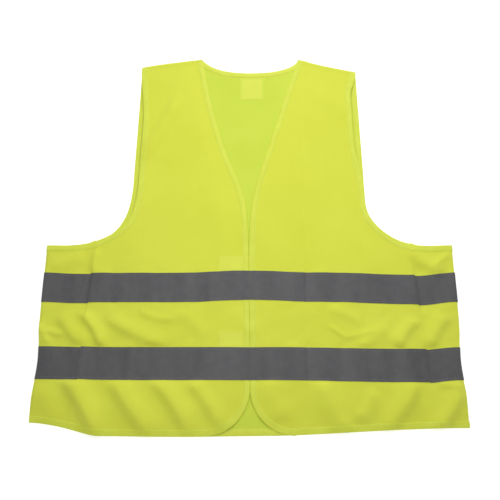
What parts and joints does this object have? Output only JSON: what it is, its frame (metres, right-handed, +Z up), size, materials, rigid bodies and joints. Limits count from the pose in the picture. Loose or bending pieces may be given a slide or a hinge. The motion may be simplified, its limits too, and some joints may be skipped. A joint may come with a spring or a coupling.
{
  "type": "high visibility vest",
  "caption": "Sleeveless high visibility safety vest laid flat: V neck, reflective bands, bound edges, hook-and-loop closure, and fronts that fold open.",
  "frame": {"origin": "centre of the bounding box in plan, on the plane that the vest lies on", "axes": "+Z up out of the front of the vest, +Y towards the neck, +X towards the wearer's left"},
  "size_m": [0.684, 0.6679, 0.0077],
  "materials": {
    "knit": "matte warp-knit polyester, fluorescent yellow",
    "binding": "satin woven polyester bias tape",
    "reflective_tape": "satin grey glass-bead retroreflective tape",
    "loop_pile": "matte brushed loop pile",
    "hook_strip": "matte moulded hook strip",
    "label": "smooth satin ribbon, blank"
  },
  "bodies": {
    "back": {"back_panel": "knit", "right_front_side": "knit", "left_front_side": "knit", "right_shoulder_seam": "knit", "left_shoulder_seam": "knit", "neck_binding": "binding", "right_armhole_binding": "binding", "left_armhole_binding": "binding", "back_hem_binding": "binding", "right_side_hem_binding": "binding", "left_side_hem_binding": "binding", "right_side_seam": "binding", "left_side_seam": "binding", "upper_back_tape": "reflective_tape", "lower_back_tape": "reflective_tape", "upper_right_side_tape": "reflective_tape", "upper_left_side_tape": "reflective_tape", "lower_right_side_tape": "reflective_tape", "lower_left_side_tape": "reflective_tape", "neck_label": "label"},
    "left_front": {"left_front_flap": "knit", "left_front_edge_binding": "binding", "upper_left_front_tape": "reflective_tape", "lower_left_front_tape": "reflective_tape", "upper_hook_patch": "hook_strip", "lower_hook_patch": "hook_strip"},
    "right_front": {"right_front_flap": "knit", "right_front_edge_binding": "binding", "upper_right_front_tape": "reflective_tape", "lower_right_front_tape": "reflective_tape", "upper_loop_patch": "loop_pile", "lower_loop_patch": "loop_pile"}
  },
  "joints": [
    {"name": "left_front_opening", "type": "hinge", "parent": "back", "child": "left_front", "pos_m": [0.25, -0.334, 0.01195], "axis": [-0.2539, 0.9672, 0], "range_deg": [0, 170]},
    {"name": "right_front_opening", "type": "hinge", "parent": "back", "child": "right_front", "pos_m": [-0.25, -0.334, 0.01195], "axis": [-0.2539, -0.9672, 0], "range_deg": [0, 170]}
  ]
}
